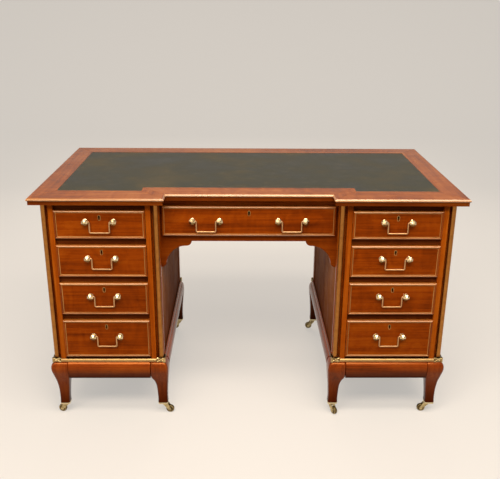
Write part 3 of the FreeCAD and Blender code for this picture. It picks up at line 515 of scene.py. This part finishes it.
def frontBoard(low, high, foot, head, face, x, z, seed):
    # a board with the key's slot through it: four faces round a window, and a ring from there to the slot
    count = keyhole["steps"]
    perSide = count // 4
    slot = slotRing(x, z, keyhole["radius"], keyhole["length"], count)
    walk = np.linspace(-1, 1, perSide + 1)[:-1]
    ones = np.ones_like(walk)
    window = np.vstack([np.c_[walk, -ones], np.c_[ones, walk], np.c_[-walk, ones], np.c_[-ones, -walk]])
    outer = np.array([(low, foot), (high, foot), (high, head), (low, head)])
    plane = np.vstack([outer, window * drawer["window"] + (x, z), slot])
    size = len(plane)
    depths = (face, face + drawer["thick"])
    points = np.vstack([np.c_[plane[:, 0], np.full(size, y), plane[:, 1]] for y in depths])
    rim = 4 + np.arange(count)
    hole, corner = rim + count, np.arange(4)
    ring = np.stack([rim, np.roll(rim, -1), np.roll(hole, -1), hole], -1)
    bore = np.stack([hole, np.roll(hole, -1), np.roll(hole, -1) + size, hole + size], -1)
    edges = np.stack([corner, np.roll(corner, -1), np.roll(corner, -1) + size, corner + size], -1)
    sides = [np.r_[side, (side + 1) % 4, np.roll(rim, -side * perSide)[:perSide + 1][::-1]]
             for side in range(4)]
    front = boxWoods.index(frontWood)
    return {"points": points, "grain": grainOf(points, "x", seed),
            "quads": np.vstack([ring, ring + size, bore, edges]),
            "caps": sides + [cap + size for cap in sides], "part": front, "capPart": front}


# Boss: a round rose and neck, then an eight-sided head cut like a jewel, as radius and depth from the
# drawer's face in millimetres. The head's facets are flat; the three facing down are darker: painted shade.
boss = {"reach": 0.044, "pivot": 0.0065, "sides": 32, "facets": 8, "browned": (4, 5, 6),
        "rose": ((8.2, 0.0), (9.0, 0.5), (8.7, 1.6), (7.2, 2.5), (5.5, 2.6)),
        "neck": ((5.5, 2.4), (5.5, 10.5)),
        "head": ((5.2, 10.2), (7.6, 10.8), (10.5, 14.0), (10.5, 14.7), (3.2, 19.9))}
# The facets listed under browned take the darker brass: painted shade on the facets that face down.
facetMetals = np.zeros(boss["facets"], int)
facetMetals[list(boss["browned"])] = fittingMetals.index(shadeBrass)


def turned(profile, sides, x, y, z, seed, parts=0):
    # a profile turned about the boss's axis, round or with flat sides, each side with its own material
    turns = 2 * math.pi * (np.arange(sides) + 0.5) / sides
    radius, depth = 0.001 * np.array(profile).T
    rings = np.stack([x + radius[:, None] * np.cos(turns), y - depth[:, None] + 0 * turns,
                      z + radius[:, None] * np.sin(turns)], -1)
    return loft(rings, "z", seed, np.tile(np.broadcast_to(parts, sides), len(profile) - 1), 0)


pivots = {joint["child"]: joint["pos_m"] for joint in frame["record"]["behaviour"]["joints"]
          if joint["child"].endswith("_bail")}
drawerNames = [f"{side}_drawer_{number}" for side in ("left", "right") for number in range(1, 5)]
for number, name in enumerate(drawerNames + ["centre_drawer"]):
    seed = 200 + 20 * number
    boxLow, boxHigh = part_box(name + "_box")
    low, high, foot, head = boxLow.x, boxHigh.x, boxLow.z + drawer["clear"] - drawer["run"], boxHigh.z
    gap, bead, wall, face = drawer["clear"], drawer["bead"], drawer["side"], boxLow.y + drawer["stand"]
    keyX, keyZ = (low + high) / 2, head + gap - keyhole["drop"]
    patches = beadStrips(beadSection, low, high, foot, head, face, seed, (paintedHighlightBeadWood, beadWood))
    patches += beadStrips(lineSection, low, high, foot, head, face, seed + 15, (lineWood, lineWood))
    patches.append(frontBoard(low + bead, high - bead, foot + bead, head - bead, face, keyX, keyZ, seed + 5))
    start, end = face + drawer["thick"], boxHigh.y
    under, over = boxLow.z, head + gap - drawer["drop"]
    base = under + drawer["rise"]
    floor = base + drawer["floor"]
    lining = boxWoods.index(liningWood)
    patches.append(board((low, start, under), (low + wall, end, over), "y", seed + 6, lining))
    patches.append(board((high - wall, start, under), (high, end, over), "y", seed + 7, lining))
    patches.append(board((low + wall, end - wall, floor), (high - wall, end, over), "x", seed + 8, lining))
    patches.append(board((low + wall, start, base), (high - wall, end, floor), "x", seed + 9, lining))
    makePiece(camelName(name) + "Box", patches, boxWoods, name, [name + "_box"], angle=30.0)

    # keyhole rim: a section carried round the slot, as thick as the plate at the slot and half that outside
    inner, outer = keyhole["radius"], keyhole["radius"] + keyhole["rim"]
    outlines = [slotRing(keyX, keyZ, reach, keyhole["length"] + 2 * (reach - inner), keyhole["steps"])
                for reach in (inner, outer, outer, inner)]
    depths = (face, face, face - keyhole["plate"] / 2, face - keyhole["plate"])
    rim = np.array([np.c_[ring[:, 0], np.full(len(ring), y), ring[:, 1]]
                    for ring, y in zip(outlines, depths)])
    fittings = [collar(rim, "z", seed + 10, fittingMetals.index(rimBrass))]
    lockWide, lockDeep, lockTall = drawer["lock"]
    fittings.append(board((keyX - lockWide / 2, start, head - bead - lockTall),
                          (keyX + lockWide / 2, start + lockDeep, head - bead), "x", seed + 11,
                          fittingMetals.index(lockMetal)))
    for bail, (x, y, z) in pivots.items():
        if bail.startswith(name):
            for place in (x - boss["reach"], x + boss["reach"]):
                seat = (place, y + boss["pivot"], z)
                fittings += [turned(boss["rose"], boss["sides"], *seat, seed + 12),
                             turned(boss["neck"], boss["sides"], *seat, seed + 13),
                             turned(boss["head"], boss["facets"], *seat, seed + 14, facetMetals)]
    makePiece(camelName(name) + "Fittings", fittings, fittingMetals, name, [name + "_brass"],
              bevel=0.00025, angle=25.0)
keep(bailBrass, *pivots)
print("stage: drawers")

# Stands: cushion-moulded rails and cabriole legs under a half-round bead.
railLow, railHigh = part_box("stand_rails")
beadLow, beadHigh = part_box("brass_base_beads")
legLow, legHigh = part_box("cabriole_legs")
stand = {"foot": legLow.z, "height": legHigh.z - legLow.z, "rail": railHigh.z - railLow.z, "thick": 0.026,
         "trim": 0.046, "bead": beadHigh.z - beadLow.z, "swell": beadHigh.x - pedestal["outer"],
         "railSteps": 28, "beadSteps": 25}


def alongFaces(section, trim, seed, kneeSection=None, kneePart=0):
    # a section (out, up) carried along the four faces of both pedestals, short of each corner; the faces
    # beside the kneehole can have their own section and material
    strips = []
    half = (pedestal["outer"] - pedestal["inner"]) / 2
    for sign in (-1, 1):
        middle = sign * (pedestal["outer"] + pedestal["inner"]) / 2
        faces = ((half, pedestal["front"], 0), (half, pedestal["front"], 180),
                 (pedestal["front"], half, 180 + 90 * sign), (pedestal["front"], half, 180 - 90 * sign))
        for number, (reach, depth, heading) in enumerate(faces):
            byKnees = number == 2
            out, up = (kneeSection if byKnees and kneeSection is not None else section).T
            ends = (trim - reach, reach - trim)
            rings = np.array([np.c_[np.full(len(out), end), -depth - out, up] for end in ends])
            patch = loft(rings, "x", seed + len(strips), kneePart if byKnees else 0)
            turn = math.radians(heading)
            x, y, z = patch["points"].T
            patch["points"] = np.c_[middle + math.cos(turn) * x - math.sin(turn) * y,
                                    math.sin(turn) * x + math.cos(turn) * y, z]
            strips.append(patch)
    return strips


def smoothCurve(knots, values, places):
    # a cubic through the knots whose slopes are those of the neighbouring chords
    knots, values = np.array(knots), np.array(values)
    slopes = np.gradient(values, knots)
    cell = np.clip(np.searchsorted(knots, places, "right") - 1, 0, len(knots) - 2)
    size = knots[cell + 1] - knots[cell]
    part = (places - knots[cell]) / size
    rest = 1 - part
    return (values[cell] * (1 + 2 * part) * rest ** 2 + slopes[cell] * size * part * rest ** 2
            + values[cell + 1] * (3 - 2 * part) * part ** 2 - slopes[cell + 1] * size * rest * part ** 2)


# Leg: a rounded rectangle at each height. Its outer sides follow the swell curve and its inner sides the
# reach curve, in millimetres at shares of the height. Beside the kneehole the outer side is straighter. The
# leg starts just above its CAD end, to show the castor's plate.
leg = {"share": (0.0, 0.10, 0.23, 0.35, 0.46, 0.55, 0.635, 0.72, 0.80, 0.86, 0.92, 0.97, 1.0),
       "swell": (-4.4, -5.2, -5.0, -4.0, -1.8, 0.9, 4.6, 8.4, 11.6, 12.4, 11.2, 7.2, 2.4),
       "reach": (36.8, 36.6, 37.8, 39.4, 41.2, 43.2, 45.2, 46.0, 46.0, 46.0, 46.0, 46.0, 46.0),
       "innerSwell": (8.2, 7.4, 7.6, 8.6, 9.9, 11.2, 12.5, 13.7, 14.4, 14.0, 11.9, 7.4, 2.4),
       "innerReach": (25.6, 25.2, 26.2, 27.6, 30.2, 35.6, 44.4, 46.0, 46.0, 46.0, 46.0, 46.0, 46.0),
       "edge": (6.0, 6.0, 6.0, 6.5, 7.0, 8.0, 9.0, 10.0, 10.0, 9.5, 8.0, 6.0, 5.0), "innerEdge": 0.007,
       "start": 0.02, "steps": 64, "cornerSteps": 9}
legShare = np.linspace(leg["start"], 1, leg["steps"])


def legCurve(key, shares=legShare):
    # one of the leg's curves in metres
    return 0.001 * smoothCurve(leg["share"], leg[key], shares)


def legRings(xSide, ySide):
    # four rounded corners at each level, from the one that faces out
    left, right, fore, aft, edge = [legCurve(key) for key in (*xSide, *ySide, "edge")]
    corner = np.repeat(np.arange(4), leg["cornerSteps"])
    turns = np.tile(np.linspace(0, 90, leg["cornerSteps"]), 4) + np.array([180, 270, 0, 90])[corner]
    turns = np.radians(turns)
    inner = np.full_like(edge, leg["innerEdge"])
    bend = np.stack([edge, inner, inner, inner], -1)[:, corner]
    x = np.stack([-left, right, right, -left], -1)[:, corner] + bend * np.array([1, -1, -1, 1])[corner]
    y = np.stack([-fore, -fore, aft, aft], -1)[:, corner] + bend * np.array([1, 1, -1, -1])[corner]
    z = np.repeat(stand["foot"] + stand["height"] * legShare, len(corner)).reshape(x.shape)
    return np.stack([x + bend * np.cos(turns), y + bend * np.sin(turns), z], -1)


outerSide, innerSide = ("swell", "reach"), ("innerSwell", "innerReach")
outerLeg = legRings(outerSide, outerSide)
leadingLeg = legRings(innerSide, outerSide)
trailingLeg = legRings(outerSide, innerSide)
legKinds = (outerLeg, trailingLeg, leadingLeg, outerLeg, leadingLeg, outerLeg, outerLeg, trailingLeg)
legs = [loft(atCorner(rings, place), "z", seed=460 + number)
        for number, (rings, place) in enumerate(zip(legKinds, places))]
makePiece("cabrioleLegs", legs, [standWood], "carcass", ["cabriole_legs"], angle=60.0)

# Rail: the head of the leg's own curve carried along between the legs, so the two run into each other.
railShare = np.linspace(1 - stand["rail"] / stand["height"], 1, stand["railSteps"])
railLevel = stand["foot"] + stand["height"] * railShare
cushions = []
for fullness in (1.0, max(leg["innerSwell"]) / max(leg["swell"])):
    face = np.c_[fullness * legCurve("swell", railShare), railLevel]
    cushions.append(np.vstack([[(-stand["thick"], railLevel[0])], face, [(-stand["thick"], railLevel[-1])]]))
rails = alongFaces(cushions[0], stand["trim"], seed=400, kneeSection=cushions[1])
makePiece("standRails", rails, [cushionWood], "carcass", ["stand_rails"], bevel=0.0005,
          angle=50.0)

# Bead: half an ellipse, of brass on the show sides and of wood beside the kneehole.
turns = np.radians(np.linspace(-90, 90, stand["beadSteps"]))
bead = np.c_[stand["swell"] * np.cos(turns), pedestal["foot"] + stand["bead"] / 2 * (1 + np.sin(turns))]
beadKinds = [beadBrass, standWood]
beads = alongFaces(bead, pedestal["notch"], seed=430, kneePart=beadKinds.index(standWood))
makePiece("baseBeads", beads, beadKinds, "carcass", ["brass_base_beads"], angle=50.0)

# Corner block: a plate on each outer face, cast with four leaves that cross. The relief is highest on the
# two diagonals and round the middle, and falls to a plain rim.
block = {"stand": 0.006, "base": 0.0035, "relief": 0.0024, "notch": pedestal["notch"],
         "foot": pedestal["foot"], "head": columnLow.z, "steps": 25,
         "vein": 0.42, "taper": 1.5, "button": 0.05, "hollow": 0.28, "edge": 0.12}


def leaves(u, v):
    # the relief's share at a place on the plate, where both run from -1 to 1
    veins = np.clip(1 - np.abs(np.abs(u) - np.abs(v)) / block["vein"], 0, 1) ** block["taper"]
    button = np.exp(-(u ** 2 + v ** 2) / block["button"])
    hollow = np.clip((np.hypot(u, v) - block["hollow"]) / block["edge"], 0, 1)
    rim = np.clip((1 - np.maximum(np.abs(u), np.abs(v))) / block["edge"], 0, 1)
    return rim * np.maximum(veins * hollow, button)


spread = np.linspace(-1, 1, block["steps"])
half = (block["notch"] + block["stand"]) / 2
core = np.array([(-block["base"], -block["base"]), (block["notch"], -block["base"]),
                 (block["notch"], block["notch"]), (-block["base"], block["notch"])])
u, v = np.meshgrid(spread, spread)
along = half - block["stand"] + half * u
out = -block["base"] - block["relief"] * leaves(u, v)
level = (block["foot"] + block["head"]) / 2 + v * (block["head"] - block["foot"]) / 2
plate = np.stack([along, out, level], -1)
back = np.stack([along[:, [-1, 0]], 0 * along[:, [-1, 0]], level[:, :2]], -1)
plate = np.concatenate([plate, back], 1)
blocks = []
for number, place in enumerate(places):
    coreRings = upright(core, (block["foot"], block["head"]))
    blocks.append(loft(atCorner(coreRings, place), "z", seed=500 + number))
    for order in ([0, 1, 2], [1, 0, 2]):
        blocks.append(loft(atCorner(plate[..., order], place), "z", seed=520 + number))
makePiece("cornerBlocks", blocks, [blockBrass], "carcass", ["brass_corner_blocks"], angle=50.0)

# Castor plate: the outline of the leg's end carried down to the fork, lapping the leg, with soft edges.
socket = {"foot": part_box("castor_sockets")[0].z, "lap": 0.0004}
levels = (socket["foot"], outerLeg[0, 0, 2] + socket["lap"])
plates = [loft(atCorner(upright(rings[0, :, :2], levels), place), "z", seed=600 + number)
          for number, (rings, place) in enumerate(zip(legKinds, places))]
makePiece("castorSockets", plates, [plateBrass], "carcass", ["castor_sockets"], bevel=0.0006,
          angle=40.0)

# Castor wheel: a half section, as radius and place along the axle in millimetres, mirrored and turned about
# the axle. The tread and the dished web are dark, the rim and hub bright.
wheel = {"section": ((2.05, 5.0), (4.6, 5.0), (5.2, 3.8), (10.6, 3.6), (11.2, 5.0), (12.4, 4.8), (13.6, 3.6),
                     (14.0, 1.6)), "dark": (0, 0, 1, 0, 0, 1, 1, 1), "turns": 48}
half = 0.001 * np.array(wheel["section"])
section = np.vstack([half, half[::-1] * (1, -1)])
dark = np.r_[wheel["dark"], wheel["dark"][-2::-1], 0]
turns = np.linspace(0, 2 * math.pi, wheel["turns"], endpoint=False)[:, None]
for number, joint in enumerate(frame["record"]["behaviour"]["joints"]):
    if joint["name"].endswith("_roll"):
        axle = np.array(joint["axis"])
        spoke = np.cos(turns)[..., None] * (0, 0, 1) + np.sin(turns)[..., None] * np.cross(axle, (0, 0, 1))
        rings = np.array(joint["pos_m"]) + section[:, :1] * spoke + section[:, 1:] * axle
        turnedWheel = collar(rings, "z", 560 + number, np.tile(dark, wheel["turns"]))
        makePiece(camelName(joint["child"]), [turnedWheel], [castorBrass, treadBrass], joint["child"],
                  [joint["child"]], angle=30.0)
keep(castorBrass, *[name for name in frame["nodes"] if name.startswith("castor_fork")])
print("stage: stands")

# Studio: a pale floor that curves up into a backdrop, pale to the camera and darker to the light that it
# throws back, a pale world, and soft lamps from above.
studio = {"tone": "#eae6e0", "glow": 0.55, "lit": "#a8a199", "bounce": "#5e5244", "world": 0.38, "far": 0.70,
          "reach": 16.0, "bend": 1.6, "bendSteps": 24, "wall": 2.6, "height": 6.0}


def seenRays(tree):
    # 1 for rays that show the background: from the camera, in a reflection or through glass
    kinds = ("Is Camera Ray", "Is Glossy Ray", "Is Transmission Ray")
    rays = [add(tree, "LightPath", out=kind) for kind in kinds]
    pair = add(tree, "Math", {0: rays[0], 1: rays[1]}, operation="MAXIMUM")
    return add(tree, "Math", {0: pair, 1: rays[2]}, operation="MAXIMUM")


def floorBuild(tree):
    # plain painted board: even and matt
    seen = seenRays(tree)
    tones = {0: seen, 6: linear(studio["bounce"]), 7: linear(studio["lit"])}
    colour = add(tree, "Mix", tones, 2, data_type="RGBA")
    glow = add(tree, "Math", {0: seen, 1: studio["glow"]}, operation="MULTIPLY")
    return {"Base Color": colour, "Emission Strength": glow}


floorMaterial = finish("floor, plain pale", floorBuild, {"Roughness": 0.9, "Specular IOR Level": 0.1,
                                                         "Emission Color": linear(studio["tone"])})
turns = np.radians(np.linspace(-90, 0, studio["bendSteps"]))
bend = np.c_[studio["wall"] + studio["bend"] * np.cos(turns), studio["bend"] * (1 + np.sin(turns))]
sweep = np.vstack([[(-studio["reach"], 0.0)], bend, [(studio["wall"] + studio["bend"], studio["height"])]])
sheet = np.array([np.c_[np.full(len(sweep), x), sweep] for x in (-studio["reach"], studio["reach"])])
count = len(sweep)
first = np.arange(count - 1)
floorMesh = bpy.data.meshes.new("floor")
floorMesh.from_pydata(sheet.reshape(-1, 3).tolist(), [],
                      np.stack([first, first + count, first + count + 1, first + 1], -1).tolist())
floorMesh.polygons.foreach_set("use_smooth", [True] * (count - 1))
floorMesh.materials.append(floorMaterial)
floorPlane = bpy.data.objects.new("floor", floorMesh)
bpy.context.scene.collection.objects.link(floorPlane)

world = bpy.data.worlds.new("studio")
bpy.context.scene.world = world
world.use_nodes = True
tree = world.node_tree
background = tree.nodes["Background"]
background.inputs["Color"].default_value = linear(studio["tone"])
shown = add(tree, "MapRange", {0: seenRays(tree), 1: 0.0, 2: 1.0, 3: studio["world"], 4: studio["far"]})
tree.links.new(shown, background.inputs["Strength"])


def areaLight(name, place, target, size, power, tint, mirrored=True):
    # a soft lamp that faces its target; one that isn't mirrored leaves no reflection
    lamp = bpy.data.lights.new(name, "AREA")
    lamp.shape = "RECTANGLE"
    lamp.size, lamp.size_y = size
    lamp.energy = power
    lamp.color = linear(tint)[:3]
    holder = bpy.data.objects.new(name, lamp)
    forward = np.array(target, float) - np.array(place, float)
    forward /= np.linalg.norm(forward)
    right = np.cross(forward, (0, 0, 1))
    right /= np.linalg.norm(right)
    turn = Matrix(np.c_[right, np.cross(right, forward), -forward].tolist()).to_4x4()
    holder.matrix_world = Matrix.Translation(place) @ turn
    holder.visible_glossy = mirrored
    bpy.context.scene.collection.objects.link(holder)


lamps = {"softbox": {"place": (-0.2, -2.4, 2.9), "target": (0, -0.2, 0.35), "size": (3.2, 0.8),
                     "power": 88, "tint": "#fff4e6"},
         "fill": {"place": (-2.2, -2.0, 1.5), "target": (0, 0, 0.35), "size": (1.2, 1.6),
                  "power": 14, "tint": "#fff1e0"},
         "ceiling": {"place": (0.6, -1.1, 2.8), "target": (0.55, -0.4, 0.0), "size": (2.4, 0.5),
                     "power": 40, "tint": "#fff6ea"},
         "behind": {"place": (0.0, 2.7, 1.7), "target": (0, 0, 0.35), "size": (2.2, 1.4),
                    "power": 34, "tint": "#fff4e6", "mirrored": False}}
for name, settings in lamps.items():
    areaLight(name, **settings)

# Camera at the photograph's place: focal length and tilt found from the desk's corners.
eye = {"place": (-0.0276, -2.3963, 1.3835), "down": 19.70, "yaw": 0.85, "roll": 0.42, "lens": 49.586,
       "sensor": 36.0}
down, yaw, roll = [math.radians(eye[key]) for key in ("down", "yaw", "roll")]
forward = np.array([math.sin(yaw) * math.cos(down), math.cos(yaw) * math.cos(down), -math.sin(down)])
right = np.array([math.cos(yaw), -math.sin(yaw), 0.0])
up = np.cross(right, forward)
across = math.cos(roll) * right + math.sin(roll) * up
upwards = math.cos(roll) * up - math.sin(roll) * right
camera = bpy.data.objects.new("camera", bpy.data.cameras.new("camera"))
camera.data.sensor_fit = "HORIZONTAL"
camera.data.sensor_width = eye["sensor"]
camera.data.lens = eye["lens"]
camera.data.dof.use_dof = False
turn = Matrix(np.c_[across, upwards, -forward].tolist()).to_4x4()
camera.matrix_world = Matrix.Translation(eye["place"]) @ turn
bpy.context.scene.collection.objects.link(camera)
bpy.context.scene.camera = camera
bpy.context.scene.view_settings.view_transform = "Standard"
print("stage: studio")
